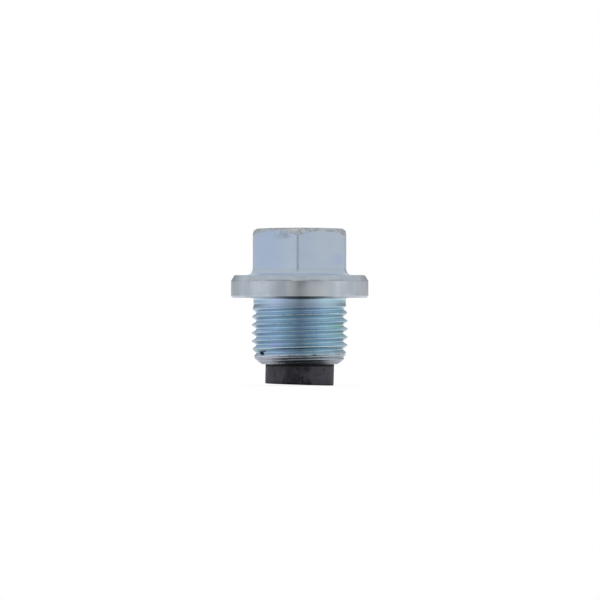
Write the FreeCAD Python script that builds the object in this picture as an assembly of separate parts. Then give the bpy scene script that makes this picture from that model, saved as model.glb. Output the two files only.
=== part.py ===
import FreeCAD, Part
import math
import os

# Oil drain plug: a hexagon head on a round collar, a threaded shank under it and a magnet in the shank's end.
# Millimetres, +Z up. The origin is on the thread's axis, in the sealing face under the collar.

# Hexagon head
hex_across_flats = 17.0
hex_height = 8.8
hex_top_diameter = 15.4
hex_bevel_deg = 30.0
hex_base_fillet = 1.1
fillet_ledge_share = 0.8
hex_turn_deg = 2.3

# Collar
collar_diameter = 25.5
collar_thickness = 4.25
collar_bevel_in = 0.65
collar_bevel_down = 1.1
collar_under_bevel = 0.35

# Neck, between the sealing face and the thread
neck_diameter = 17.15
neck_length = 1.0
neck_root_bevel = 0.5

# Thread, M18 x 1.5, right hand, rolled: its crests rise from the neck and sink again towards the end
thread_pitch = 1.5
thread_crest_diameter = 17.9
thread_rise_length = 3.4
thread_full_length = 3.9
thread_lead_in_length = 2.82
thread_lead_in_drop = 0.57
thread_crest_height = -2.78
groove_end_height = -0.83
groove_fade_turns = 1.2

# End of the shank
end_bevel_in = 1.4
end_bevel_down = 1.18

# Magnet and its pocket
magnet_diameter = 12.8
magnet_length = 8.95
magnet_edge_bevel = 0.2
pocket_clearance = 0.15
pocket_depth = 5.0
pocket_glue_film = 0.02

# Form of the ISO metric thread: its depth and its crest's flat are shares of the pitch
depth_share = 0.6134
crest_flat_share = 1 / 8
flank_deg = 30.0

# How finely the groove's helix is laid out, how far its cutter stands proud of the crests and past its end
points_per_turn = 24
pieces_per_turn = 2
cutter_proud = 0.1
cutter_overrun_turns = 0.2

# Heights down the shank
rise_end = -neck_length - thread_rise_length
full_end = rise_end - thread_full_length
lead_in_end = full_end - thread_lead_in_length
shank_end = lead_in_end - end_bevel_down
pocket_floor = shank_end + pocket_depth

# Radii
corner_radius = hex_across_flats / math.sqrt(3)
collar_radius = collar_diameter / 2
collar_top_radius = collar_radius - collar_bevel_in
neck_radius = neck_diameter / 2
crest_radius = thread_crest_diameter / 2
groove_depth = depth_share * thread_pitch
root_radius = crest_radius - groove_depth
lead_in_radius = crest_radius - thread_lead_in_drop
end_face_radius = lead_in_radius - end_bevel_in
magnet_radius = magnet_diameter / 2
pocket_radius = magnet_radius + pocket_clearance

# The axis, the side that a corner of the hexagon faces, and how close two equal lengths lie
AXIS_FOOT = FreeCAD.Vector(0, 0, 0)
UP = FreeCAD.Vector(0, 0, 1)
FRONT_DEG = -90.0
NEAR = 1e-4


def polygon_face(points):
    """A flat face inside a closed line through the points."""
    return Part.Face(Part.makePolygon(points + points[:1]))


def turned(outline):
    """A solid made by turning an outline of (radius, height) points about the axis."""
    face = polygon_face([FreeCAD.Vector(radius, 0, height) for radius, height in outline])
    return face.revolve(AXIS_FOOT, UP, 360)


def blank():
    """The collar, neck and shank as turned, before the thread is rolled."""
    return turned([
        (0, collar_thickness),
        (collar_top_radius, collar_thickness),
        (collar_radius, collar_thickness - collar_bevel_down),
        (collar_radius, collar_under_bevel),
        (collar_radius - collar_under_bevel, 0),
        (neck_radius + neck_root_bevel, 0),
        (neck_radius, -neck_root_bevel),
        (neck_radius, -neck_length),
        (crest_radius, rise_end),
        (crest_radius, full_end),
        (lead_in_radius, lead_in_end),
        (end_face_radius, shank_end),
        (0, shank_end),
    ])


def hex_head():
    """A hexagon prism that starts inside the collar, its top corners cut by a cone."""
    head_top = collar_thickness + hex_height
    top_radius = hex_top_diameter / 2
    corners = []
    for i in range(6):
        angle = math.radians(FRONT_DEG - hex_turn_deg + 60 * i)
        corners.append(FreeCAD.Vector(corner_radius * math.cos(angle), corner_radius * math.sin(angle), 0))
    prism = polygon_face(corners).extrude(UP * head_top)
    bevel_drop = (corner_radius - top_radius) * math.tan(math.radians(hex_bevel_deg))
    cone = turned([
        (0, head_top),
        (top_radius, head_top),
        (2 * corner_radius - top_radius, head_top - 2 * bevel_drop),
        (2 * corner_radius - top_radius, 0),
        (0, 0),
    ])
    return prism.common(cone)


def with_head(solid):
    """The head joined to the collar, with a fillet round its foot that the collar's ledge has room for."""
    joined = solid.fuse(hex_head()).removeSplitter()
    foot = [
        edge
        for edge in joined.Edges
        if isinstance(edge.Curve, Part.Line)
        and abs(edge.BoundBox.ZMin - collar_thickness) < NEAR
        and abs(edge.BoundBox.ZMax - collar_thickness) < NEAR
    ]
    room = fillet_ledge_share * (collar_top_radius - corner_radius)
    return joined.makeFillet(min(hex_base_fillet, room), foot)


def turn_at(height):
    """Turns along the groove from where it passes +X to where its middle line is at that height."""
    return (height - thread_crest_height) / thread_pitch + 0.5


def groove_root(turn):
    """Radius of the groove's root: full depth, then it rises out of the shank below the neck."""
    faded = (turn - turn_at(groove_end_height)) / groove_fade_turns + 1
    return root_radius + groove_depth * max(faded, 0) ** 2


def helix_edge(turns, out, up):
    """An edge along the groove, so far out and up from the middle of its root."""
    points = []
    for turn in turns:
        radius = groove_root(turn) + out
        angle = 2 * math.pi * turn
        height = thread_crest_height + thread_pitch * (turn - 0.5) + up
        points.append(FreeCAD.Vector(radius * math.cos(angle), radius * math.sin(angle), height))
    curve = Part.BSplineCurve()
    curve.interpolate(Points=points, Parameters=turns)
    return curve.toShape()


def groove_piece(first, last):
    """The V between the crests from one turn value to another, as a closed solid of ruled faces."""
    slope = math.tan(math.radians(flank_deg))
    half_mouth = thread_pitch * (1 - crest_flat_share) / 2
    half_root = half_mouth - groove_depth * slope
    half_outer = half_mouth + cutter_proud * slope
    outer = groove_depth + cutter_proud
    section = [(0, -half_root), (0, half_root), (outer, half_outer), (outer, -half_outer)]
    steps = math.ceil((last - first) * points_per_turn)
    turns = [first + (last - first) * i / steps for i in range(steps + 1)]
    edges = [helix_edge(turns, out, up) for out, up in section]
    faces = [Part.makeRuledSurface(edge, edges[i - 1]) for i, edge in enumerate(edges)]
    for turn in (first, last):
        faces.append(polygon_face([edge.Curve.value(turn) for edge in edges]))
    shell = Part.makeShell(faces)
    shell.sewShape()
    piece = Part.makeSolid(shell)
    if piece.Volume < 0:
        piece.reverse()
    return piece


def threaded(solid):
    """The solid with the groove cut from the shank's end up to where it has faded, piece by piece."""
    first = turn_at(shank_end)
    last = turn_at(groove_end_height) + cutter_overrun_turns
    count = math.ceil((last - first) * pieces_per_turn)
    for i in range(count):
        piece = groove_piece(first + (last - first) * i / count, first + (last - first) * (i + 1) / count)
        solid = solid.cut(piece)
    return solid


def plug_body():
    """Head, collar, neck and thread in one piece, with the magnet's pocket open at the shank's end."""
    pocket = Part.makeCylinder(pocket_radius, pocket_depth, UP * shank_end, UP)
    return threaded(with_head(blank()).cut(pocket))


def magnet():
    """The slug in the pocket, up against the glue on its floor, its edges bevelled."""
    top = pocket_floor - pocket_glue_film
    bottom = top - magnet_length
    end_radius = magnet_radius - magnet_edge_bevel
    return turned([
        (0, top),
        (end_radius, top),
        (magnet_radius, top - magnet_edge_bevel),
        (magnet_radius, bottom + magnet_edge_bevel),
        (end_radius, bottom),
        (0, bottom),
    ])


def main():
    os.makedirs("parts", exist_ok=True)
    for name, make in (("plug_body", plug_body), ("magnet", magnet)):
        solid = make()
        solid.exportStep(f"parts/{name}.step")
        box = solid.BoundBox
        print(name, "valid", solid.isValid(), "solids", len(solid.Solids), "faces", len(solid.Faces))
        print("  volume", round(solid.Volume, 2), "height from", round(box.ZMin, 3), "to", round(box.ZMax, 3))


main()
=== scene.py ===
# %% [markdown]
# An oil drain plug, dressed for a photograph
#
# The plug is one steel piece, turned, rolled and zinc plated, with a dark magnet glued in its end. The packed
# model gives its real sizes, and this lesson builds the skin that the camera sees: softly rounded edges, a
# rolled thread, a passivated plate that shimmers from grey to blue, and a rough ferrite slug.
#
# The frame comes first. Every length below is in metres, +Z points up the thread's axis to the head, and the
# camera looks along +Y.

# %% The frame and what it measures
import math

import bmesh
import bpy
import numpy as np
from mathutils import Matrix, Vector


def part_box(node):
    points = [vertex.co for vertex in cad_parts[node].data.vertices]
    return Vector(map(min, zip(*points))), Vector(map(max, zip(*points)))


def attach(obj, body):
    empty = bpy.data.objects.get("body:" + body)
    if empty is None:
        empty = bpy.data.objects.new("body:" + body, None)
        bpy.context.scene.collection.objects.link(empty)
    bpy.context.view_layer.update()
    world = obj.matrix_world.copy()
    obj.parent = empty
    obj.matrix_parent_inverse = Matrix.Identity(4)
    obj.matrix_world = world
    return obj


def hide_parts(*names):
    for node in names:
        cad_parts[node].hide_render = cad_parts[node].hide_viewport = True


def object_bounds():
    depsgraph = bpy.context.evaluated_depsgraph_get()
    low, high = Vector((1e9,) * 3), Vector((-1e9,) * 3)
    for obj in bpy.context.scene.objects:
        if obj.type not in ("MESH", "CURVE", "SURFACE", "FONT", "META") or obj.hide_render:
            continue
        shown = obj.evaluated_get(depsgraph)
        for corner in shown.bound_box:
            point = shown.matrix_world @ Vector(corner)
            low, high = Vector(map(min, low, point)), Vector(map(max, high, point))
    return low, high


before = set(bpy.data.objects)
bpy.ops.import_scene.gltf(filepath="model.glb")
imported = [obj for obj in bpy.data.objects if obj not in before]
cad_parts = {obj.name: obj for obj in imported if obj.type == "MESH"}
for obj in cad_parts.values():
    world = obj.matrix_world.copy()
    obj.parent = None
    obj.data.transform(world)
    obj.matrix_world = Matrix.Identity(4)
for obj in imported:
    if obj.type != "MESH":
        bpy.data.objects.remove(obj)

MM = 0.001
cad_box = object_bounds()
body_low, body_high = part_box("plug_body")
magnet_low, magnet_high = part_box("magnet")
print("body", [round(v / MM, 2) for v in (*body_low, *body_high)], "mm")
print("magnet", [round(v / MM, 2) for v in (*magnet_low, *magnet_high)], "mm")

# %% [markdown]
# The camera
#
# The photograph looks at the plug square from the side, a hair below the collar, from far enough away that
# the hexagon hardly tapers. A long lens gives that. The scale of the picture sets the focal length: so many
# pixels of a 600 pixel frame for each millimetre at the plug's axis.

# %% The camera
IMAGE_PIXELS = 600
PIXELS_PER_MM = 5.387
CAMERA_DISTANCE = 1.2
AXIS_PIXEL_X = 299.7
SEAL_PIXEL_Y = 297.9
SENSOR_WIDTH = 36.0

pixel = MM / PIXELS_PER_MM
camera_data = bpy.data.cameras.new("camera")
camera_data.sensor_width = SENSOR_WIDTH
camera_data.lens = SENSOR_WIDTH * CAMERA_DISTANCE / (IMAGE_PIXELS * pixel)
camera_data.clip_start = 0.05
camera_data.clip_end = 20.0
camera = bpy.data.objects.new("camera", camera_data)
bpy.context.scene.collection.objects.link(camera)
camera.location = (
    (IMAGE_PIXELS / 2 - AXIS_PIXEL_X) * pixel,
    -CAMERA_DISTANCE,
    (SEAL_PIXEL_Y - IMAGE_PIXELS / 2) * pixel,
)
camera.rotation_euler = (math.pi / 2, 0.0, 0.0)
bpy.context.scene.camera = camera
bpy.context.scene.view_settings.view_transform = "Standard"
print("lens", round(camera_data.lens, 1), "mm at", CAMERA_DISTANCE, "m")

# %% [markdown]
# Shader maths in plain Python
#
# A material is a graph of nodes, and a formula such as 1 - mask * 0.3 takes three of them. A small class that
# wraps a socket and overloads the operators lets that formula be written as it reads. One more method makes
# any other node: its settings go in first, because they can change which sockets it has, then its inputs.

# %% A wrapped socket and a graph
class Value:
    """A number, colour or vector in a node graph. Arithmetic on it adds Math nodes."""

    def __init__(self, graph, socket):
        self.graph = graph
        self.socket = socket

    def __add__(self, other):
        return self.graph.maths("ADD", self, other)

    def __radd__(self, other):
        return self.graph.maths("ADD", other, self)

    def __sub__(self, other):
        return self.graph.maths("SUBTRACT", self, other)

    def __rsub__(self, other):
        return self.graph.maths("SUBTRACT", other, self)

    def __mul__(self, other):
        return self.graph.maths("MULTIPLY", self, other)

    def __rmul__(self, other):
        return self.graph.maths("MULTIPLY", other, self)

    def __truediv__(self, other):
        return self.graph.maths("DIVIDE", self, other)

    def __pow__(self, other):
        return self.graph.maths("POWER", self, other)

    def __neg__(self):
        return self.graph.maths("MULTIPLY", self, -1.0)

    def absolute(self):
        return self.graph.maths("ABSOLUTE", self)

    def largest(self, other):
        return self.graph.maths("MAXIMUM", self, other)


class Graph:
    """The node tree of a material or a world."""

    def __init__(self, owner):
        owner.use_nodes = True
        self.tree = owner.node_tree
        self.tree.nodes.clear()

    def node(self, kind, settings=None, inputs=None, out=0):
        """Adds a node, sets it up, fills its sockets by name or number, and returns one output."""
        made = self.tree.nodes.new(kind)
        for name, value in (settings or {}).items():
            if name == "stops":
                ramp = made.color_ramp
                while len(ramp.elements) < len(value):
                    ramp.elements.new(1.0)
                for element, (place, level) in zip(ramp.elements, value):
                    element.position = place
                    element.color = (level, level, level, 1.0)
            else:
                setattr(made, name, value)
        for name, value in (inputs or {}).items():
            if isinstance(value, Value):
                self.tree.links.new(value.socket, made.inputs[name])
            else:
                made.inputs[name].default_value = value
        return Value(self, made.outputs[out]) if made.outputs else made

    def maths(self, operation, *values):
        return self.node("ShaderNodeMath", {"operation": operation}, dict(enumerate(values)))

    def coordinates(self, kind="Object"):
        """The place of the shaded point, as a vector and as its three numbers."""
        place = self.node("ShaderNodeTexCoord", out=kind)
        return place, [self.node("ShaderNodeSeparateXYZ", None, {0: place}, out=i) for i in range(3)]

    def step(self, value, low, high):
        """0 below low, 1 above high and a smooth ramp between. With low above high it falls."""
        settings = {"interpolation_type": "SMOOTHSTEP"}
        if low < high:
            return self.node("ShaderNodeMapRange", settings, {0: value, 1: low, 2: high, 3: 0.0, 4: 1.0})
        return self.node("ShaderNodeMapRange", settings, {0: value, 1: high, 2: low, 3: 1.0, 4: 0.0})

    def noise(self, place, scale, detail=3.0, roughness=0.5):
        """Soft noise, about 0.5 on average, with features one over scale metres wide."""
        return self.node("ShaderNodeTexNoise", None,
                         {"Vector": place, "Scale": scale, "Detail": detail, "Roughness": roughness})

    def stretched(self, place, factors, shift=(0.0, 0.0, 0.0)):
        """The place with each axis scaled, so that a pattern gets long along the axes with small factors."""
        return self.node("ShaderNodeMapping", None, {"Vector": place, "Scale": factors, "Location": shift})

    def mix(self, factor, first, second):
        """A colour between two colours: the first where the factor is 0, the second where it is 1."""
        ends = [colour if isinstance(colour, Value) else (*colour, 1.0) for colour in (first, second)]
        return self.node("ShaderNodeMix", {"data_type": "RGBA"}, {0: factor, 6: ends[0], 7: ends[1]}, out=2)


# %% [markdown]
# The studio
#
# Metal shows its surroundings more than itself. The photograph was taken in a white tent with the camera's
# dark side in front: the flats of the hexagon mirror the bright walls, and a dim band runs down the middle of
# everything round, darkest where the lens looks in. Round the white backdrop the tent is a little grey, which
# draws a darker rim along every outline. A world whose brightness depends on direction does all that with no
# lamp to place. What the camera sees directly is white.

# %% Brightness round the horizon
DARK_BEARING_DEG = 0.5
# Brightness by the angle from the dark bearing, as a share of a half turn
SIDE_STOPS = (
    (0.0, 0.20), (0.045, 0.36), (0.12, 0.48), (0.20, 0.55),
    (0.28, 0.72), (0.36, 0.82), (0.48, 0.75), (1.0, 0.76),
)


def side_brightness(graph, east, north):
    """Brightness towards a point of the horizon: a ramp over its bearing from the dark one."""
    bearing = graph.maths("ARCTAN2", east, -north) * (180 / math.pi) - DARK_BEARING_DEG
    return graph.node("ShaderNodeValToRGB", {"stops": SIDE_STOPS}, {0: bearing.absolute() / 180.0})


for place, level in SIDE_STOPS:
    print("at", round(place * 180), "degrees from the dark bearing the tent is", level)

# %% The world
TOP_BRIGHTNESS = 0.82
DARK_TOP_DEG = 26.0
BRIGHT_FROM_DEG = 72.0
# The grey of the tent round the backdrop, by the angle from straight behind the plug
RIM_DIMMING = 0.52
RIM_INNER_DEG = (5.0, 14.0)
RIM_OUTER_DEG = (96.0, 50.0)
RIM_TOP_DEG = (30.0, 12.0)

world = bpy.data.worlds.new("studio")
bpy.context.scene.world = world
sky = Graph(world)
_, (east, north, up) = sky.coordinates("Generated")
from_behind = sky.maths("ARCCOSINE", north) * (180 / math.pi)
elevation = sky.maths("ARCSINE", up) * (180 / math.pi)
rim = sky.step(from_behind, *RIM_INNER_DEG) * sky.step(from_behind, *RIM_OUTER_DEG)
rim = rim * sky.step(elevation, *RIM_TOP_DEG)
topness = sky.step(elevation, DARK_TOP_DEG, BRIGHT_FROM_DEG)
sides = side_brightness(sky, east, north)
room = (sides + topness * (TOP_BRIGHTNESS - sides)) * (1.0 - RIM_DIMMING * rim)
seen_directly = sky.node("ShaderNodeLightPath", out="Is Camera Ray")
light = sky.node("ShaderNodeBackground", None, {"Color": room.largest(seen_directly), "Strength": 1.0})
sky.node("ShaderNodeOutputWorld", None, {"Surface": light})
print("world nodes", len(sky.tree.nodes))

# %% [markdown]
# The floor
#
# A sheet of white paper under the plug. Seen by the camera it is nearly all glow, so that it meets the white
# wall with no edge, and a share of its own shade is left near the plug: the plug's faint shadow. Mirrored in
# the metal it glows with painted light, as bright as the tent on that side, and carries a painted shadow:
# dimmer where the plug stands over it, and darkest just in front.

# %% The floor
FLOOR_HALF_WIDTH = 3.0
FLOOR_COLOUR = (0.80, 0.80, 0.80)
SHADOW_SHARE = 0.12
SHADOW_REACH = 0.020
# How bright the metal mirrors the floor against the tent's sides, a painted glow, and the plug's painted
# shadow
# on it as two soft discs: how dark they are, from their edge to where they are darkest, and where the deep
# one has its middle
FLOOR_GAIN = 1.3
WIDE_SHADE = 0.42
WIDE_SHADE_RING = (0.030, 0.010)
DEEP_SHADE = 0.93
DEEP_SHADE_RING = (0.0150, 0.0070)
DEEP_SHADE_FORWARD = 0.0110
DEEP_SHADE_RIGHT = 0.0012

floor_mesh = bpy.data.meshes.new("floor")
square = ((-1, -1), (1, -1), (1, 1), (-1, 1))
corners = [(x * FLOOR_HALF_WIDTH, y * FLOOR_HALF_WIDTH, cad_box[0].z) for x, y in square]
floor_mesh.from_pydata(corners, [], [(0, 1, 2, 3)])
floor = bpy.data.objects.new("floor", floor_mesh)
bpy.context.scene.collection.objects.link(floor)

paper = bpy.data.materials.new("white_paper")
graph = Graph(paper)
_, (x, y, _) = graph.coordinates()
away = (x * x + y * y) ** 0.5
by_camera = graph.node("ShaderNodeLightPath", out="Is Camera Ray")
by_gloss = graph.node("ShaderNodeLightPath", out="Is Glossy Ray")
by_glass = graph.node("ShaderNodeLightPath", out="Is Transmission Ray")
by_mirror = by_gloss.largest(by_glass)
glow = by_camera * (1.0 - SHADOW_SHARE * graph.step(away, SHADOW_REACH, 0.0))
# The floor in reflections: painted light as bright as the tent's side, and the plug's painted shadow as two
# discs
from_shade = ((x - DEEP_SHADE_RIGHT) ** 2.0 + (y + DEEP_SHADE_FORWARD) ** 2.0) ** 0.5
wide_shade = 1.0 - WIDE_SHADE * graph.step(away, *WIDE_SHADE_RING)
deep_shade = 1.0 - DEEP_SHADE * graph.step(from_shade, *DEEP_SHADE_RING)
mirrored = side_brightness(graph, x, y) * FLOOR_GAIN * wide_shade * deep_shade
matt = graph.node("ShaderNodeBsdfDiffuse", None, {"Color": (*FLOOR_COLOUR, 1.0)})
shine = graph.node("ShaderNodeEmission", None, {"Color": by_camera.largest(mirrored), "Strength": 1.0})
surface = graph.node("ShaderNodeMixShader", None, {0: glow.largest(by_mirror), 1: matt, 2: shine})
graph.node("ShaderNodeOutputMaterial", None, {"Surface": surface})
floor_mesh.materials.append(paper)
print("floor at", round(cad_box[0].z / MM, 3), "mm")

# %% [markdown]
# Meshes from arrays
#
# Both pieces are turned forms, so each is a grid: one column for each direction round the axis, one row for
# each line along the profile. The grid is worked out as whole arrays. Its first and last column lie on each
# other, and so do all the points of a pole, so merging what coincides closes the skin.

# %% A grid of points made a closed piece
MERGE_DISTANCE = 2e-7


def closed_piece(name, radii, angles, heights):
    """A mesh from a grid in polar form: x = radius cos(angle), y = radius sin(angle), z = height. Neighbours
    in the grid make quads, rows run down the outside, and coincident points are merged."""
    rows, columns = radii.shape
    points = np.stack([radii * np.cos(angles), radii * np.sin(angles), heights], axis=-1).reshape(-1, 3)
    corner = np.arange(rows * columns).reshape(rows, columns)
    around = corner[:-1, :-1], corner[1:, :-1], corner[1:, 1:], corner[:-1, 1:]
    quads = np.stack(around, axis=-1).reshape(-1, 4)
    mesh = bpy.data.meshes.new(name)
    mesh.vertices.add(len(points))
    mesh.vertices.foreach_set("co", points.astype(np.float32).ravel())
    mesh.loops.add(quads.size)
    mesh.loops.foreach_set("vertex_index", quads.astype(np.int32).ravel())
    mesh.polygons.add(len(quads))
    mesh.polygons.foreach_set("loop_start", np.arange(0, quads.size, 4, dtype=np.int32))
    mesh.update(calc_edges=True)
    piece = bpy.data.objects.new(name, mesh)
    bpy.context.scene.collection.objects.link(piece)
    merged = bmesh.new()
    merged.from_mesh(mesh)
    bmesh.ops.remove_doubles(merged, verts=merged.verts, dist=MERGE_DISTANCE)
    bmesh.ops.dissolve_degenerate(merged, edges=merged.edges, dist=MERGE_DISTANCE)
    open_edges = sum(not edge.is_manifold for edge in merged.edges)
    volume = merged.calc_volume(signed=True)
    triangles = sum(len(face.verts) - 2 for face in merged.faces)
    merged.to_mesh(mesh)
    merged.free()
    mesh.shade_smooth()
    print(name, triangles, "triangles,", open_edges, "open edges,", round(volume / MM ** 3, 1), "cubic mm")
    return piece


# %% [markdown]
# Rounded profiles
#
# No edge on a plated part is sharp. A profile is written as its corners, each with the radius it is rounded
# to, and a function turns every corner into an exact arc. The corners may differ from column to column, which
# is how a hexagon and a circle share one profile.

# %% A line with rounded corners
# How far from each end of an arc the row lies that keeps the straight stretch there flat in the shading
GUARD = 0.03 * MM


def rounded_line(corners, steps=5):
    """Rows of (radius, height) along a line whose inner corners are arcs. A corner is (radius, height,
    rounding). The arc starts rounding / tan(half the corner's angle) before the corner and is a rational
    quadratic curve, whose weight, the sine of that half angle, makes it a true circle. One more row on each
    side of an arc keeps the shading of the straight stretches flat."""
    outline = np.stack([np.stack(np.broadcast_arrays(r, z, np.zeros(COLUMNS + 1)), axis=-1)[:, :2]
                        for r, z, _ in corners])
    rows = [outline[0]]
    t = np.linspace(0.0, 1.0, steps + 1)[:, None, None]
    for k in range(1, len(corners) - 1):
        here = outline[k]
        back = outline[k - 1] - here
        ahead = outline[k + 1] - here
        back = back / np.linalg.norm(back, axis=-1, keepdims=True)
        ahead = ahead / np.linalg.norm(ahead, axis=-1, keepdims=True)
        half = np.arccos(np.clip((back * ahead).sum(-1, keepdims=True), -1.0, 1.0)) / 2
        cut = corners[k][2] / np.tan(half)
        start, end, weight = here + back * cut, here + ahead * cut, np.sin(half)
        shares = (1 - t) ** 2, 2 * weight * t * (1 - t), t ** 2
        arc = (shares[0] * start + shares[1] * here + shares[2] * end) / (shares[0] + shares[1] + shares[2])
        rows += [start + back * GUARD, *arc, end + ahead * GUARD]
    rows.append(outline[-1])
    return np.stack(rows)


# %% [markdown]
# Uneven lines
#
# Pressed and plated edges waver a little. A sum of cosines round the axis, each with a whole number of waves
# in a turn, gives a line that closes on itself however uneven it is. The seed makes it the same on every run.

# %% A closed random line
SEED = 7
random = np.random.default_rng(SEED)


def waves(angle, lowest, count, fall):
    """A closed random line round the axis: cosines of rising frequency and falling height, about -1 to 1."""
    frequencies = lowest + np.arange(count)
    sizes = frequencies ** -fall
    phases = random.uniform(0, 2 * math.pi, count)
    total = (sizes[:, None] * np.cos(frequencies[:, None] * angle + phases[:, None])).sum(axis=0)
    return total / np.abs(total).max()


print("seed", SEED)

# %% [markdown]
# The columns and the hexagon
#
# The same columns run from the hexagon through the collar to the thread, so their spacing suits the hexagon:
# they crowd towards its six corners, where the surface turns, and spread over the flats.

# %% Columns crowded to the corners
# A whole number of columns to each flat, and how much wider apart they lie in its middle than on average
COLUMNS = 372
CROWDING = 1.72
HEX_TURN_DEG = 2.3
ACROSS_FLATS = 17.0 * MM
CORNER_ROUNDING = 0.52 * MM

first_corner = math.radians(-90.0 - HEX_TURN_DEG)
sector = math.radians(60.0)
column_share = np.arange(COLUMNS + 1) / COLUMNS * 6
across = 2 * (column_share % 1.0) - 1
from_flat = sector / 2 * across * (CROWDING - (CROWDING - 1) * np.abs(across))
angles = first_corner + sector * (np.floor(column_share) + 0.5) + from_flat
angles[-1] = angles[0] + 2 * math.pi
from_flat[-1] = from_flat[0]
corner_arc_centre = (ACROSS_FLATS / 2 - CORNER_ROUNDING) / math.cos(sector / 2)


def hexagon_radius():
    """Distance from the axis to the hexagon: half the width over the cosine of the angle from the flat's
    middle, and near a corner the far side of a small circle that touches both flats."""
    from_corner = sector / 2 - np.abs(from_flat)
    touch = math.atan2(CORNER_ROUNDING * math.sin(sector / 2),
                       corner_arc_centre + CORNER_ROUNDING * math.cos(sector / 2))
    flat = ACROSS_FLATS / 2 / np.cos(from_flat)
    inside = np.maximum(CORNER_ROUNDING ** 2 - (corner_arc_centre * np.sin(from_corner)) ** 2, 0.0)
    arc = corner_arc_centre * np.cos(from_corner) + np.sqrt(inside)
    return np.where(from_corner < touch, arc, flat)


hexagon = hexagon_radius()
print("across corners", round(2 * hexagon.max() / MM, 2), "mm, columns", COLUMNS)

# %% [markdown]
# Head, collar and neck
#
# The top is slightly crowned. A cone cuts its corners, which leaves an arc on each flat. Rows of the grid
# follow that arc, because its height is worked out from the hexagon's own radius in each column. A fillet
# runs from the flats out to the collar, whose bevel has slightly wavy edges, and under it the neck starts in
# a small hollow.

# %% The upper rows
HEAD_TOP = body_high.z
HEAD_TOP_RADIUS = 7.92 * MM
HEAD_BEVEL = math.tan(math.radians(32.0))
HEAD_CROWN = 0.19 * MM
CROWN_ROWS = 8
CROWN_REACH = 0.85
FOOT_FILLET = 1.2 * MM
COLLAR_TOP = 4.25 * MM
COLLAR_RADIUS = body_high.x
COLLAR_BEVEL_IN = 0.65 * MM
COLLAR_BEVEL_DOWN = 1.1 * MM
COLLAR_UNDER_BEVEL = 0.32 * MM
RIM_WAVE = 0.03 * MM
CREASE_WAVE = 0.06 * MM
NECK_RADIUS = 8.575 * MM
THREAD_TOP = -0.7 * MM

crown_shares = np.linspace(0.0, CROWN_REACH, CROWN_ROWS)[:, None] * np.ones(COLUMNS + 1)
crown = np.stack([HEAD_TOP_RADIUS * crown_shares, HEAD_TOP - HEAD_CROWN * crown_shares ** 2], axis=-1)
rim_of_crown = HEAD_TOP - HEAD_CROWN
bevel_foot = rim_of_crown - (hexagon - HEAD_TOP_RADIUS) * HEAD_BEVEL
rim_height = COLLAR_TOP - RIM_WAVE * (1 + waves(angles, lowest=4, count=30, fall=0.7))
crease_height = COLLAR_TOP - COLLAR_BEVEL_DOWN + CREASE_WAVE * waves(angles, lowest=5, count=40, fall=0.6)
# From the crown over the head's bevel and flats, the foot and the collar to the neck
sides_and_neck = rounded_line([
    (crown[-1, :, 0], crown[-1, :, 1], 0),
    (HEAD_TOP_RADIUS, rim_of_crown, 0.3 * MM),
    (hexagon, bevel_foot, 0.2 * MM),
    (hexagon, COLLAR_TOP, FOOT_FILLET),
    (COLLAR_RADIUS - COLLAR_BEVEL_IN, rim_height, 0.18 * MM),
    (COLLAR_RADIUS, crease_height, 0.2 * MM),
    (COLLAR_RADIUS, COLLAR_UNDER_BEVEL, 0.25 * MM),
    (COLLAR_RADIUS - COLLAR_UNDER_BEVEL, 0.0, 0.10 * MM),
    (NECK_RADIUS, 0.0, 0.42 * MM),
    (NECK_RADIUS, THREAD_TOP, 0),
])
upper = np.concatenate([crown[:-1], sides_and_neck])
print("upper rows", len(upper))

# %% [markdown]
# The rolled thread
#
# Rows of constant height would cut a slanting crest into steps. Here each row climbs with the helix, by one
# pitch in a turn, so a row stays on the same line of the profile all the way round, and the crest is clean
# on a coarse mesh too. Rows that would leave the threaded stretch are held at its ends, where they fold into
# nothing and merge. The crests come up out of the neck and sink towards the tip, and the groove is a V with
# a narrow flat floor, softened where floor and flanks meet.

# %% The thread's sizes
PITCH = 1.5 * MM
CREST_RADIUS = 8.95 * MM
GROOVE_DEPTH = 0.92 * MM
FLANK = 1 / math.tan(math.radians(30.0))
HALF_FLOOR = 0.15 * MM
FLOOR_SOFTNESS = 0.13 * MM
CREST_SOFTNESS = 0.26 * MM
CREST_AT_ANGLE_0 = -2.78 * MM
GROOVE_END = -0.83 * MM
FADE_TURNS = 1.2
NECK_END = -1.0 * MM
FULL_CRESTS_TOP = -4.4 * MM
FULL_CRESTS_BOTTOM = -8.3 * MM
TIP = body_low.z
BEVEL_TOP = TIP + 1.18 * MM
BEVEL_TOP_RADIUS = 8.40 * MM
LIP_BOTTOM = TIP + 0.88 * MM
LIP_RADIUS = 8.19 * MM
END_FACE_RADIUS = 7.06 * MM
# Below this height the groove gets shallower, by its whole depth in this length
RISE_FROM = TIP + 1.55 * MM
RISE_LENGTH = 2.5 * MM
# Heights and radii of the line that the crests reach, from the tip's end face over a short lip to the neck
CREST_LINE = (
    (TIP, END_FACE_RADIUS),
    (LIP_BOTTOM, LIP_RADIUS),
    (BEVEL_TOP, BEVEL_TOP_RADIUS),
    (FULL_CRESTS_BOTTOM, CREST_RADIUS),
    (FULL_CRESTS_TOP, CREST_RADIUS),
    (NECK_END, NECK_RADIUS),
    (0.0, NECK_RADIUS),
)
LINE_SOFTNESS = 0.06 * MM
print("pitch", PITCH / MM, "mm, crest radius", CREST_RADIUS / MM, "mm")


# %% The thread's radius at any place
def crest_line(height):
    """Radius that the crests reach: straight stretches, averaged over a short length to soften the bends."""
    line_heights, line_radii = np.array(CREST_LINE).T
    taps = [np.interp(height + LINE_SOFTNESS * k, line_heights, line_radii) for k in (-1, -0.5, 0, 0.5, 1)]
    return sum(taps) / len(taps)


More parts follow.
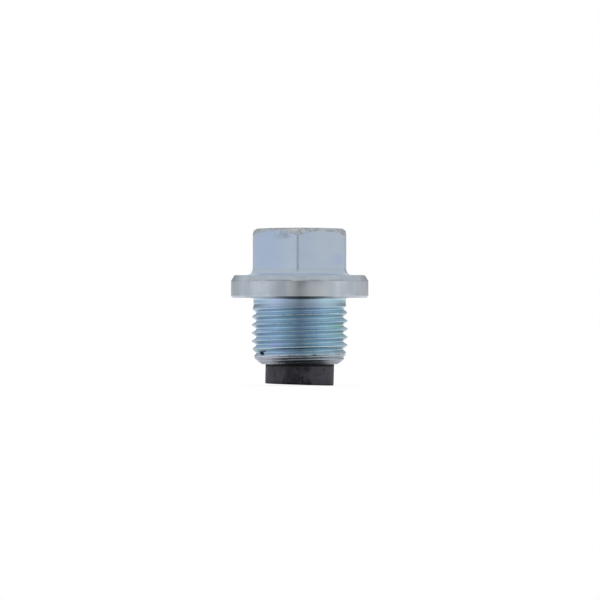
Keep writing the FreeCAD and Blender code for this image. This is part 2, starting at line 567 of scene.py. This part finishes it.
def groove_turn(angle, height):
    """Turns along the groove, counted where its middle is nearest to the point."""
    ramp = angle / (2 * math.pi)
    return np.round((height - CREST_AT_ANGLE_0) / PITCH + 0.5 - ramp) + ramp


def thread_radius(angle, height):
    """The smaller of the crest line and the groove, blended where they meet. The groove's radius is its
    floor's, plus the flank's slope times a ramp: half the sum of the way past the floor's edge and the root
    of that way squared and a softness squared. The floor rises with the square of the turns as the groove
    runs out under the neck, and slowly with its height where it runs out over the tip."""
    turn = groove_turn(angle, height)
    middle = CREST_AT_ANGLE_0 + PITCH * (turn - 0.5)
    past_floor = np.abs(height - middle) - HALF_FLOOR
    last_turn = (GROOVE_END - CREST_AT_ANGLE_0) / PITCH + 0.5
    fade = np.maximum((turn - last_turn) / FADE_TURNS + 1, 0.0) ** 2
    risen = np.maximum((RISE_FROM - middle) / RISE_LENGTH, 0.0)
    groove_floor = CREST_RADIUS - GROOVE_DEPTH * (1 - fade - risen)
    groove = groove_floor + FLANK * (past_floor + np.sqrt(past_floor ** 2 + FLOOR_SOFTNESS ** 2)) / 2
    line = crest_line(height)
    overlap = np.maximum(CREST_SOFTNESS - np.abs(line - groove), 0.0)
    return np.minimum(line, groove) - overlap ** 2 / (4 * CREST_SOFTNESS)


sample = thread_radius(np.zeros(2), np.array([CREST_AT_ANGLE_0 - 3 * PITCH, CREST_AT_ANGLE_0 - 3.5 * PITCH]))
print("crest and floor of the groove", [round(v / MM, 3) for v in sample], "mm from the axis")

# %% The helical rows
# Where the rows lie from the middle of the groove to the middle of the crest, as shares of the pitch
ROW_SHARES = np.array([0.0, 0.045, 0.07, 0.09, 0.12, 0.23, 0.345, 0.385, 0.42, 0.46])
RUN_OFF_TOP = TIP + 1.5 * MM

shares = np.concatenate([ROW_SHARES, [0.5], 1 - ROW_SHARES[:0:-1]])
climb = PITCH * (angles - angles[0]) / (2 * math.pi)
groove_height = CREST_AT_ANGLE_0 + PITCH * (groove_turn(angles[0], THREAD_TOP) + 0.5)
pitches = int((groove_height - RUN_OFF_TOP) / PITCH) + 3
starts = groove_height - PITCH * (np.arange(pitches)[:, None] + shares).ravel()
heights = np.clip(starts[:, None] + climb, RUN_OFF_TOP, THREAD_TOP)
used = (heights.max(axis=1) > RUN_OFF_TOP) & (heights.min(axis=1) < THREAD_TOP)
heights = heights[used]
print("thread rows", len(heights), "at", len(shares), "to a pitch")

# %% [markdown]
# The run-off
#
# Where the thread runs off over the bevel, rolling has folded the last land over the cone. The fold is a dark
# hair line all round. It doesn't follow the helix but lies nearly level, a little higher on the right, so
# these rows are level and close. The fold is a bell curve across, and it wavers in height and depth.

# %% The level rows and the fold
THREAD_BOTTOM = TIP + 0.3 * MM
RUN_OFF_ROWS = 26
FOLD_HEIGHT = TIP + 0.97 * MM
FOLD_SLOPE = 0.22 * MM
FOLD_WAVE = 0.05 * MM
FOLD_DEPTH = 0.20 * MM
FOLD_UNEVENNESS = 0.25
# How far the bell curve reaches below its middle line and above it
FOLD_REACH = (0.08 * MM, 0.06 * MM)

low_heights = np.linspace(RUN_OFF_TOP, THREAD_BOTTOM, RUN_OFF_ROWS)[:, None] * np.ones(COLUMNS + 1)
heights = np.concatenate([heights, low_heights])
waver = FOLD_WAVE * waves(angles, lowest=2, count=16, fall=0.8)
from_fold = heights - FOLD_HEIGHT - FOLD_SLOPE * np.cos(angles) - waver
reach = np.where(from_fold < 0, *FOLD_REACH)
depth = FOLD_DEPTH * (1 - FOLD_UNEVENNESS + FOLD_UNEVENNESS * waves(angles, lowest=3, count=24, fall=0.5))
fold = depth * np.exp(-(from_fold / reach) ** 2)
radii = thread_radius(np.broadcast_to(angles, heights.shape), heights) - fold
thread = np.stack([radii, heights], axis=-1)
print("rows with the run-off", len(thread), "and the fold is", round(fold.max() / MM, 3), "mm deep")

# %% [markdown]
# The nick
#
# Low on the left a small tear in the last crest shows as a black teardrop. It is a dent in the grid: a bell
# curve in two directions, laid askew.

# %% A dent in the last crest
NICK_X = -7.0 * MM
NICK_Z = -10.25 * MM
NICK_SLANT = math.radians(-42.0)
NICK_SIZE = (0.44 * MM, 0.23 * MM)
NICK_DEPTH = 0.3 * MM


def nick_reach(x, z):
    """Squared distance from the nick's middle, seen from the front, in its own half lengths."""
    right = x - NICK_X
    up = z - NICK_Z
    along = right * (math.cos(NICK_SLANT) / NICK_SIZE[0]) + up * (math.sin(NICK_SLANT) / NICK_SIZE[0])
    aside = up * (math.cos(NICK_SLANT) / NICK_SIZE[1]) - right * (math.sin(NICK_SLANT) / NICK_SIZE[1])
    return along * along + aside * aside


in_front = np.sin(angles) < 0
dent = NICK_DEPTH * np.exp(-nick_reach(thread[..., 0] * np.cos(angles), thread[..., 1])) * in_front
thread[..., 0] -= dent
print("deepest dent", round(dent.max() / MM, 3), "mm")

# %% [markdown]
# The tip and the pocket
#
# The last rows go over the bevelled tip, turn into the pocket for the magnet and end on its floor. Then
# all rows are stacked and the piece takes the place of the plain body.

# %% The whole body
POCKET_CLEARANCE = 0.15 * MM
POCKET_DEPTH = 5.0 * MM
POCKET_RADIUS = magnet_high.x + POCKET_CLEARANCE
POCKET_FLOOR = TIP + POCKET_DEPTH

lower = rounded_line([
    (crest_line(np.array(THREAD_BOTTOM)), THREAD_BOTTOM, 0),
    (END_FACE_RADIUS, TIP, 0.34 * MM),
    (POCKET_RADIUS, TIP, 0.06 * MM),
    (POCKET_RADIUS, POCKET_FLOOR, 0.2 * MM),
    (0.0, POCKET_FLOOR, 0),
])
grid = np.concatenate([upper, thread, lower])
plug = closed_piece("plug_body_plated", grid[..., 0], np.broadcast_to(angles, grid.shape[:2]), grid[..., 1])
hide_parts("plug_body")
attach(plug, "root")

# %% [markdown]
# The magnet
#
# The slug was pushed into glue and set a little askew, so it leans about the pocket's mouth and its right
# edge hangs lower, the more so as its end isn't quite square. Ferrite is brittle: its lower edge is chipped
# here and there, which a bevel of uneven width gives, and its side has the fine ripple of a pressed part.

# %% The magnet's profile
LEAN = math.radians(1.4)
END_SKEW = math.tan(math.radians(0.4))
SLUG_SHIFT = 0.03 * MM
SLUG_COLUMNS = 360
SLUG_RADIUS = magnet_high.x - SLUG_SHIFT
GLUE_FILM = 0.02 * MM
EDGE_BEVEL = 0.16 * MM
# The bevel is a little round: the middle of its line lies at this share of its width from the sharp corner
BEVEL_BULGE = 0.35
# Chips are where the closed random line is above this level
CHIP_LEVEL = 0.45
CHIP_DEPTH = 0.22 * MM
RIPPLE = 0.012 * MM
SIDE_ROWS = 26

slug_angles = np.linspace(0.0, 2 * math.pi, SLUG_COLUMNS + 1)
chips = np.maximum(waves(slug_angles, lowest=9, count=40, fall=0.6) - CHIP_LEVEL, 0.0) / (1 - CHIP_LEVEL)
edge = EDGE_BEVEL + CHIP_DEPTH * chips
rise_of_lean = SLUG_RADIUS * math.sin(LEAN)
slug_top = (POCKET_FLOOR - TIP - GLUE_FILM - rise_of_lean) / math.cos(LEAN)
slug_low = (magnet_low.z - TIP + rise_of_lean) / math.cos(LEAN) + END_SKEW * SLUG_RADIUS
side_shares = np.linspace(0.0, 1.0, SIDE_ROWS)[:, None]
side_low = slug_low - END_SKEW * SLUG_RADIUS * np.cos(slug_angles) + edge
side_heights = slug_top - EDGE_BEVEL - side_shares * (slug_top - EDGE_BEVEL - side_low)
ripples = [waves(slug_angles, lowest=14, count=60, fall=0.4) for _ in side_shares]
side_ripple = RIPPLE * (np.stack(ripples) - 1)


def low_ring(radius, lift):
    """A ring of the skewed end: its height falls with the way to the right, plus a lift above the end."""
    radius = np.broadcast_to(radius, slug_angles.shape)
    return radius, slug_low - END_SKEW * radius * np.cos(slug_angles) + lift


profile = [
    (np.zeros_like(edge), np.full_like(edge, slug_top)),
    (np.full_like(edge, SLUG_RADIUS - EDGE_BEVEL), np.full_like(edge, slug_top)),
    *((SLUG_RADIUS + ripple, height) for ripple, height in zip(side_ripple, side_heights)),
    low_ring(SLUG_RADIUS - edge * BEVEL_BULGE, edge * BEVEL_BULGE),
    low_ring(SLUG_RADIUS - edge, 0.0),
    low_ring(SLUG_RADIUS - 2 * EDGE_BEVEL - CHIP_DEPTH, 0.0),
    low_ring(0.0, 0.0),
]
slug_radii = np.stack([radius for radius, _ in profile])
slug_heights = np.stack([height for _, height in profile])
print("magnet profile", round(slug_top / MM, 2), "to", round(slug_low / MM, 2), "mm from the pocket's mouth")

# %% The magnet, leaning
slug = closed_piece("magnet_slug", slug_radii, np.broadcast_to(slug_angles, slug_radii.shape), slug_heights)
turn = np.array([[math.cos(LEAN), 0, math.sin(LEAN)], [0, 1, 0], [-math.sin(LEAN), 0, math.cos(LEAN)]])
points = np.empty(len(slug.data.vertices) * 3, np.float32)
slug.data.vertices.foreach_get("co", points)
leaning = points.reshape(-1, 3) @ turn.T + np.array([SLUG_SHIFT, 0.0, TIP])
slug.data.vertices.foreach_set("co", leaning.astype(np.float32).ravel())
slug.data.update()
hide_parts("magnet")
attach(slug, "root")
print("magnet reaches", round(leaning[:, 2].min() / MM, 3), "mm")

# %% [markdown]
# Zinc plate
#
# Bright zinc with a clear passivation is a silver metal under a film so thin that it colours the
# reflection: blue on the polished thread and the left flat, grey on the turned collar and the cut bevels,
# drifting between the two elsewhere. Formulas draw all that with no seam. Every finish has a mask, which is
# 1 where it lies and 0 elsewhere with a soft edge, made from the place on the part, and noise of several
# sizes breaks the masks up.

# %% Places and masks on the plate
# From where a mask is 0 to where it is 1, in millimetres: up past the sealing face, and forward of the axis
SEAL_EDGE = (-0.1, 0.0)
FRONT_EDGE = (0.0, -1.0)

plate = bpy.data.materials.new("zinc_plate")
graph = Graph(plate)
place, (x, y, z) = graph.coordinates()
radius = (x * x + y * y) ** 0.5


def soft(value, low, high):
    """A mask that is 0 at low and 1 at high, both in millimetres."""
    return graph.step(value, low * MM, high * MM)


def spot(middle_x, middle_z, half_width, half_height):
    """1 in the middle of an oval spot on the front, fading to 0 at its edge. Lengths are in millimetres."""
    aside = (x - middle_x * MM) / (half_width * MM)
    above = (z - middle_z * MM) / (half_height * MM)
    return graph.step(aside * aside + above * above, 1.0, 0.0) * in_front


def painted(colour, layers):
    """The colour under layers of others: for each, where it lies, how strongly it covers, and its colour."""
    for where, strength, tint in layers:
        colour = graph.mix(where * strength, colour, tint)
    return colour


above_seal = soft(z, *SEAL_EDGE)
in_front = soft(y, *FRONT_EDGE)
print("places and masks:", len(graph.tree.nodes), "nodes")

# %% Noise of several sizes
# The scales are in features to the metre: the drift's are 8 mm wide and the specks' half a millimetre
drift = graph.noise(graph.stretched(place, (1.0, 1.0, 0.6)), 120.0, 2.0)
blotch = graph.noise(place, 420.0, 3.0)
patch = graph.noise(place, 1100.0, 4.0, 0.6)
speck = graph.noise(place, 2200.0, 3.0, 0.6)
streaks = graph.noise(graph.stretched(place, (1.0, 1.0, 0.10)), 480.0, 3.0)
along_thread = graph.noise(graph.stretched(place, (1.0, 1.0, 2.2), (3.0 * MM, 0.0, 0.0)), 150.0, 2.0)
print("with noises:", len(graph.tree.nodes), "nodes")

# %% [markdown]
# The head's colours
#
# The flats are silver, and bluer to the left. The cone that cut the top left a greyer bevel, and a dark line
# of painted shade runs along its lower arc and its upper rim. The bevel is worn to bright and dark flecks
# above the front corner, the corners are rubbed pale, a grey-green smudge lies high on the left flat, and a
# blue bloom low on the right one.

# %% Masks on the head
# Ovals on the front, in millimetres: middle across and up, half width and half height
SMUDGE = (-3.2, 11.6, 2.0, 1.0)
BLOOM = (6.9, 7.2, 2.2, 1.4)
WORN_BEVEL = (-0.5, 12.75, 1.6, 0.6)
# Soft edges in millimetres, from where a mask is 0 to where it is 1: above the bevel's cone, outside the flat
# top, from the arc and from the rim, and radii and heights where the lines, the corners and the wear are
BEVEL_ABOVE_CONE = (-0.12, -0.02)
OUTSIDE_TOP = (-0.1, 0.1)
ARC_BELOW_CONE = 0.05
ARC_WIDTH = (0.16, 0.03)
ARC_HEIGHTS = (11.3, 11.5)
RIM_WIDTH = (0.35, 0.05)
RIM_HEIGHTS = (12.4, 12.6)
CORNER_RADII = (9.45, 9.75)
CORNER_HEIGHTS = (5.0, 6.5)
WORN_RADII = (7.3, 7.8)

outside_top = radius - HEAD_TOP_RADIUS
above_cone = z - rim_of_crown + outside_top * HEAD_BEVEL
on_head_bevel = soft(above_cone, *BEVEL_ABOVE_CONE) * soft(outside_top, *OUTSIDE_TOP)
on_arc = soft((above_cone + ARC_BELOW_CONE * MM).absolute(), *ARC_WIDTH) * soft(z, *ARC_HEIGHTS)
on_top_rim = soft(outside_top.absolute(), *RIM_WIDTH) * soft(z, *RIM_HEIGHTS)
on_corner = soft(radius, *CORNER_RADII) * soft(z, *CORNER_HEIGHTS)
smudged = spot(*SMUDGE) * graph.step(patch * 0.6 + blotch * 0.4, 0.34, 0.62)
bloomed = spot(*BLOOM) * graph.step(patch * 0.4 + blotch * 0.6, 0.25, 0.55)
worn = spot(*WORN_BEVEL) * soft(radius, *WORN_RADII)
print("head masked:", len(graph.tree.nodes), "nodes")

# %% Colours on the head
FLAT_SILVER = (0.53, 0.61, 0.72)
FLAT_BLUE = (0.45, 0.55, 0.71)
EDGE_GREY = (0.66, 0.75, 0.83)
BEVEL_GREY = (0.52, 0.55, 0.57)
# The dark line of painted shade on the bevel's arc and rim
RIM_PAINTED_SHADE = (0.24, 0.27, 0.29)
SMUDGE_GREY = (0.30, 0.37, 0.40)
BLOOM_BLUE = (0.44, 0.54, 0.78)
FLECK_DARK = (0.10, 0.11, 0.11)
FLECK_BEIGE = (0.74, 0.70, 0.64)
# How blue the flats are in the middle, how fast that grows to the left, per metre, and how much it drifts
BLUE_SHARE = 0.40
BLUE_TO_LEFT = 110.0
BLUE_DRIFT = 1.8

blueness = graph.step((drift - 0.5) * BLUE_DRIFT - x * BLUE_TO_LEFT + BLUE_SHARE, 0.0, 1.0)
head_colour = painted(FLAT_SILVER, (
    (blueness, 1.0, FLAT_BLUE),
    (smudged, 0.7, SMUDGE_GREY),
    (bloomed, 0.55, BLOOM_BLUE),
    (on_corner, 0.6, EDGE_GREY),
    (on_head_bevel, 0.8, BEVEL_GREY),
    # A dark line of painted shade along the bevel's lower arc and its upper rim
    (on_arc * graph.step(patch, 0.42, 0.62), 0.6, RIM_PAINTED_SHADE),
    (on_top_rim * graph.step(patch, 0.30, 0.60), 0.7, RIM_PAINTED_SHADE),
    (worn * graph.step(speck, 0.42, 0.52), 0.8, FLECK_BEIGE),
    (worn * graph.step(speck, 0.50, 0.38), 1.0, FLECK_DARK),
))
print("head coloured:", len(graph.tree.nodes), "nodes")

# %% [markdown]
# The collar's colours
#
# The collar is turned, and its side shows upright streaks: cool to the left, warmer to the right, dull here
# and there, and rubbed pale on both sides of the middle. Its ledge is pale, with a painted highlight round
# the hexagon's foot. Its bevel is painted cooler and darker towards the middle, a painted shade, and the
# crease under the bevel is a broken dark line of painted shade there.

# %% Masks on the collar
# Ovals where the side is rubbed paler, in millimetres: middle across and up, half width and half height
COLLAR_RUBS = ((2.2, 1.3, 3.2, 2.2), (-1.5, 1.9, 1.5, 2.6))
# Soft edges in millimetres, from where a mask is 0 to where it is 1: heights above the ledge, radii, the way
# from the foot and from the crease, and how far to the sides the bevel's and the crease's painted shade go
LEDGE_HEIGHTS = (1.5, 0.7)
COLLAR_RADII = (11.4, 12.7)
FOOT_WIDTH = (0.35, 0.10)
CREASE_UP = 0.1
CREASE_WIDTH = (0.20, 0.06)
CREASE_ASIDE = (10.5, 6.5)
BEVEL_FULL_BELOW = 0.6 * MM
BEVEL_RADII = (11.9, 12.1)
BEVEL_ASIDE = (11.0, 7.0)

aside = x.absolute()
above_ledge = z - COLLAR_TOP
above_crease = above_ledge + COLLAR_BEVEL_DOWN - CREASE_UP * MM
on_ledge = soft(above_ledge, *LEDGE_HEIGHTS) * above_seal
on_collar = soft(radius, *COLLAR_RADII) * above_seal
at_foot = soft(above_ledge.absolute(), *FOOT_WIDTH) * (1.0 - on_collar)
in_crease = soft(above_crease.absolute(), *CREASE_WIDTH) * soft(aside, *CREASE_ASIDE) * on_collar
on_bevel = graph.step(above_ledge, -COLLAR_BEVEL_DOWN, -BEVEL_FULL_BELOW) * soft(radius, *BEVEL_RADII)
warmth = graph.step(streaks * 0.6 + blotch * 0.4 + x * 6.0, 0.38, 0.62)
dullness = graph.step(streaks * 0.5 + blotch * 0.5, 0.56, 0.40)
print("collar masked:", len(graph.tree.nodes), "nodes")

# %% Colours on the collar
COLLAR_COOL = (0.54, 0.62, 0.72)
COLLAR_WARM = (0.60, 0.64, 0.70)
COLLAR_RUBBED = (0.76, 0.82, 0.86)
COLLAR_DULL = (0.44, 0.48, 0.50)
LEDGE_PALE = (0.58, 0.67, 0.76)
# A painted highlight on the foot, and painted shade on the bevel and in the crease
FOOT_HIGHLIGHT = (0.74, 0.86, 0.97)
BEVEL_MIDDLE_SHADE = (0.44, 0.52, 0.60)
CREASE_SHADE = (0.30, 0.32, 0.35)

side_colour = painted(COLLAR_COOL, (
    (warmth, 1.0, COLLAR_WARM),
    (dullness, 0.45, COLLAR_DULL),
    *((spot(*rub), 0.7, COLLAR_RUBBED) for rub in COLLAR_RUBS),
))
upper_colour = painted(head_colour, (
    (on_ledge, 1.0, LEDGE_PALE),
    # A painted highlight round the hexagon's foot
    (at_foot, 0.8, FOOT_HIGHLIGHT),
    (on_collar, 1.0, side_colour),
    # Painted shade on the bevel and in the crease, darkest towards the middle
    (on_bevel * soft(aside, *BEVEL_ASIDE), 0.5, BEVEL_MIDDLE_SHADE),
    (in_crease * graph.step(blotch, 0.30, 0.60), 0.75, CREASE_SHADE),
))
print("collar coloured:", len(graph.tree.nodes), "nodes")

# %% [markdown]
# The thread's colours
#
# The thread shows the film best, teal to the right and violet to the left. A worn line lies along each crest,
# a little above its middle, painted pale as a painted highlight. The mask for it counts the way up from the
# crest's helix in pitches, so that the line climbs with the thread. The flanks that face up are painted
# lighter and those that face down darker: painted light and shade. The tip is greyer, its last land dull on
# the right, and the nick is black.

# %% Masks on the thread
# The worn line's place above the crest's middle and its soft edge, where it is also a painted highlight, and
# the flanks' painted light and shade with theirs, all as shares of the pitch up from the crest's middle
CREST_HIGHLIGHT_UP = 0.05
CREST_WEAR_AND_HIGHLIGHT = (0.14, 0.06)
UPPER_FLANK = (0.05, 0.12, 0.34, 0.42)
LOWER_FLANK = (0.64, 0.80, 0.96, 1.0)
# Soft edges in millimetres of height, from where a mask is 0 to where it is 1, and the nick's in its own size
THREAD_HEIGHTS = (-1.4, -2.0)
FLANK_HEIGHTS = (-10.3, -9.9)
TIP_HEIGHTS = (-10.2, -11.2)
NICK_EDGE = (1.5, 0.8)
# Ovals on the front, in millimetres: middle across and up, half width and half height
VIOLET_SPOT = (-4.6, -8.8, 2.2, 0.7)
GREEN_SPOT = (7.4, -5.6, 1.8, 1.6)
DULL_LAND = (6.8, -10.5, 4.0, 1.1)


def band(value, start, full, still, end):
    """A mask that rises from start to full, stays 1 as far as still and falls to 0 at the end."""
    return graph.step(value, start, full) * graph.step(value, end, still)


in_turn = graph.maths("ARCTAN2", y, x) / (2 * math.pi)
in_pitch = graph.maths("FRACT", (z - CREST_AT_ANGLE_0) / PITCH - in_turn)
past_wear_and_highlight = graph.maths("FRACT", in_pitch + 0.5 - CREST_HIGHLIGHT_UP) - 0.5
on_thread = soft(z, *THREAD_HEIGHTS)
on_crest = graph.step(past_wear_and_highlight.absolute(), *CREST_WEAR_AND_HIGHLIGHT) * on_thread
on_flank = soft(z, *FLANK_HEIGHTS) * on_thread * (1.0 - on_crest)
on_tip = soft(z, *TIP_HEIGHTS)
in_nick = graph.step(nick_reach(x, z), *NICK_EDGE) * in_front
print("thread masked:", len(graph.tree.nodes), "nodes")

# %% Colours on the thread
THREAD_BLUE = (0.45, 0.59, 0.77)
THREAD_TEAL = (0.44, 0.64, 0.71)
THREAD_VIOLET = (0.47, 0.53, 0.78)
THREAD_GREEN = (0.42, 0.66, 0.58)
# Painted light and shade for the flanks, and the crests' worn line painted pale as a highlight
FLANK_PAINTED_LIGHT = (0.56, 0.73, 0.86)
FLANK_PAINTED_SHADE = (0.36, 0.52, 0.63)
CREST_WEAR_HIGHLIGHT = (0.66, 0.83, 0.96)
TIP_GREY = (0.62, 0.65, 0.71)
LAND_DULL = (0.40, 0.44, 0.49)
NICK_DARK = (0.008, 0.014, 0.02)
# How strong teal and violet are in the middle, how fast they grow to their sides, per metre, and their drift
TEAL_SHARE = 0.55
TEAL_TO_RIGHT = 45.0
VIOLET_SHARE = -0.05
VIOLET_TO_LEFT = 30.0
FILM_DRIFT = 3.0

film = (along_thread - 0.5) * FILM_DRIFT
thread_colour = painted(THREAD_BLUE, (
    (graph.step(film + x * TEAL_TO_RIGHT + TEAL_SHARE, 0.0, 1.0), 0.85, THREAD_TEAL),
    (graph.step(VIOLET_SHARE - film - x * VIOLET_TO_LEFT, 0.0, 1.0), 0.6, THREAD_VIOLET),
    (spot(*VIOLET_SPOT), 1.0, THREAD_VIOLET),
    (spot(*GREEN_SPOT), 0.8, THREAD_GREEN),
    # Painted light on flanks facing up, painted shade on those facing down, a painted highlight on each crest
    (on_flank * band(in_pitch, *UPPER_FLANK), 0.75, FLANK_PAINTED_LIGHT),
    (on_flank * band(in_pitch, *LOWER_FLANK), 0.6, FLANK_PAINTED_SHADE),
    (on_crest, 0.9, CREST_WEAR_HIGHLIGHT),
    (on_tip, 0.8, TIP_GREY),
    (spot(*DULL_LAND) * graph.step(patch, 0.30, 0.62), 0.9, LAND_DULL),
))
colour = painted(thread_colour, (
    (above_seal, 1.0, upper_colour),
    (in_nick, 1.0, NICK_DARK),
))
print("thread coloured:", len(graph.tree.nodes), "nodes")

# %% [markdown]
# Gloss and grain
#
# The rolled thread is the glossiest part and the rubbed corners are the dullest. The plate's grain, its
# blotches, the collar's streaks, the turned rings under the collar and on the tip, and the torn metal of the
# crests are all too fine for the mesh, so they are relief in a bump.

# %% The plate's gloss
HEAD_ROUGHNESS = 0.36
LEDGE_ROUGHNESS = 0.48
COLLAR_ROUGHNESS = 0.33
CORNER_ROUGHNESS = 0.58
THREAD_ROUGHNESS = 0.29
CREST_ROUGHNESS = 0.38
TIP_ROUGHNESS = 0.36
NICK_ROUGHENING = 0.4
BLOTCH_ROUGHENING = 0.12

roughness = THREAD_ROUGHNESS
for where, change in (
    (above_seal, HEAD_ROUGHNESS - THREAD_ROUGHNESS),
    (on_collar, COLLAR_ROUGHNESS - HEAD_ROUGHNESS),
    (on_crest, CREST_ROUGHNESS - THREAD_ROUGHNESS),
    (on_corner, CORNER_ROUGHNESS - HEAD_ROUGHNESS),
    (on_ledge * (1.0 - on_collar), LEDGE_ROUGHNESS - HEAD_ROUGHNESS),
    (on_tip, TIP_ROUGHNESS - THREAD_ROUGHNESS),
    (blotch - 0.5, BLOTCH_ROUGHENING),
    (in_nick, NICK_ROUGHENING),
):
    roughness = where * change + roughness
print("roughness from", THREAD_ROUGHNESS, "on the thread to", CORNER_ROUGHNESS, "on the corners")

# %% The plate's grain
GRAIN_HEIGHT = 0.003 * MM
BLOTCH_HEIGHT = 0.010 * MM
STREAK_HEIGHT = 0.020 * MM
RING_HEIGHT = 0.004 * MM
TEAR_HEIGHT = 0.16 * MM
# The share of the rings on the tip, and of the tearing on the flanks
TIP_RINGS = 0.5
FLANK_TEAR = 0.3
# Where the sealing face's rings lie, in millimetres of height and radius
SEAL_HEIGHTS = (0.5, 0.0)
SEAL_RADII = (8.5, 8.8)

grain = graph.noise(place, 5200.0, 4.0, 0.6)
torn = graph.noise(graph.stretched(place, (0.6, 0.6, 1.0)), 1700.0, 3.0)
turned_place = graph.node("ShaderNodeCombineXYZ", None, {0: radius, 2: z})
rings = graph.noise(turned_place, 5500.0, 2.0)
ringed = soft(z, *SEAL_HEIGHTS) * soft(radius, *SEAL_RADII) * above_seal + on_tip * TIP_RINGS
relief = grain * GRAIN_HEIGHT + blotch * BLOTCH_HEIGHT + streaks * on_collar * STREAK_HEIGHT
relief = relief + rings * ringed * RING_HEIGHT + torn * on_thread * (on_crest + FLANK_TEAR) * TEAR_HEIGHT
normal = graph.node("ShaderNodeBump", None, {"Height": relief, "Strength": 1.0, "Distance": 1.0})
print("deepest relief", round(TEAR_HEIGHT / MM, 2), "mm, where the crests are torn")

# %% The plate on the body
metal = graph.node("ShaderNodeBsdfPrincipled", None, {
    "Base Color": colour,
    "Metallic": 1.0 - in_nick,
    "Roughness": roughness,
    "Normal": normal,
})
graph.node("ShaderNodeOutputMaterial", None, {"Surface": metal})
plug.data.materials.append(plate)
print("zinc plate nodes", len(graph.tree.nodes))

# %% [markdown]
# Ferrite
#
# Sintered ferrite is a near black ceramic. It is matt, with a faint speckle, and its side carries light
# scratches and the dust that a magnet gathers. The dust's pale colour is also painted light: more of it off
# the middle and most to the right, which leaves painted shade down the middle. At the pocket's mouth a black
# band of painted shade lies round it, in the gap under the rim.

# %% Dust, painted light and painted shade on the ferrite
# The dust and its painted light: growth to the right, per metre, the share off the middle, and the step's
# ends
DUST_AND_LIGHT_TO_RIGHT = 5.0
DUST_AND_LIGHT_OFF_MIDDLE = 0.09
DUST_AND_LIGHT_LEVELS = (0.44, 0.64)
# The line across the front with the least dust and painted light, so the darkest, and from how far off it
# they grow to how far, in millimetres
DARK_MIDDLE_X = -0.4
DARK_MIDDLE_WIDTH = (1.2, 3.4)
# Heights over which the painted shade under the rim ends, in millimetres from the pocket's mouth
GAP_SHADE_HEIGHTS = (-0.55, -0.15)

ferrite = bpy.data.materials.new("hard_ferrite")
graph = Graph(ferrite)
place, (x, y, z) = graph.coordinates()
speckle = graph.noise(place, 2600.0, 4.0, 0.65)
clouds = graph.noise(graph.stretched(place, (1.0, 1.0, 1.0), (4.0 * MM, 0.0, 0.0)), 720.0, 4.0, 0.6)
scratches = graph.noise(graph.stretched(place, (1.0, 1.0, 0.15)), 2100.0, 3.0)
off_middle = soft((x - DARK_MIDDLE_X * MM).absolute(), *DARK_MIDDLE_WIDTH)
grime = clouds * 0.65 + speckle * 0.27 + scratches * 0.08
# Paler dust, and painted light off the middle and to the right
dust_and_light = graph.step(grime + x * DUST_AND_LIGHT_TO_RIGHT + off_middle * DUST_AND_LIGHT_OFF_MIDDLE, *DUST_AND_LIGHT_LEVELS)
# A black band of painted shade in the gap under the pocket's rim
under_rim_shade = soft(z - TIP, *GAP_SHADE_HEIGHTS)
print("dust and glue:", len(graph.tree.nodes), "nodes")

# %% The ferrite on the magnet
FERRITE_DARK = (0.011, 0.010, 0.019)
FERRITE_DUST_AND_LIGHT = (0.081, 0.075, 0.098)
# The black of the painted shade under the rim
GAP_SHADE = (0.003, 0.003, 0.004)
FERRITE_ROUGHNESS = 0.46
DUST_ROUGHENING = 0.18
GAP_SHADE_ROUGHENING = 0.2
SPECKLE_HEIGHT = 0.02 * MM
SCRATCH_HEIGHT = 0.01 * MM
CLOUD_HEIGHT = 0.06 * MM

bumps = speckle * SPECKLE_HEIGHT + scratches * SCRATCH_HEIGHT + clouds * CLOUD_HEIGHT
stone = graph.node("ShaderNodeBsdfPrincipled", None, {
    "Base Color": painted(FERRITE_DARK, ((dust_and_light, 1.0, FERRITE_DUST_AND_LIGHT), (under_rim_shade, 1.0, GAP_SHADE))),
    "Roughness": FERRITE_ROUGHNESS + dust_and_light * DUST_ROUGHENING + under_rim_shade * GAP_SHADE_ROUGHENING,
    "Normal": graph.node("ShaderNodeBump", None, {"Height": bumps, "Strength": 1.0, "Distance": 1.0}),
})
graph.node("ShaderNodeOutputMaterial", None, {"Surface": stone})
slug.data.materials.append(ferrite)
print("ferrite nodes", len(graph.tree.nodes))
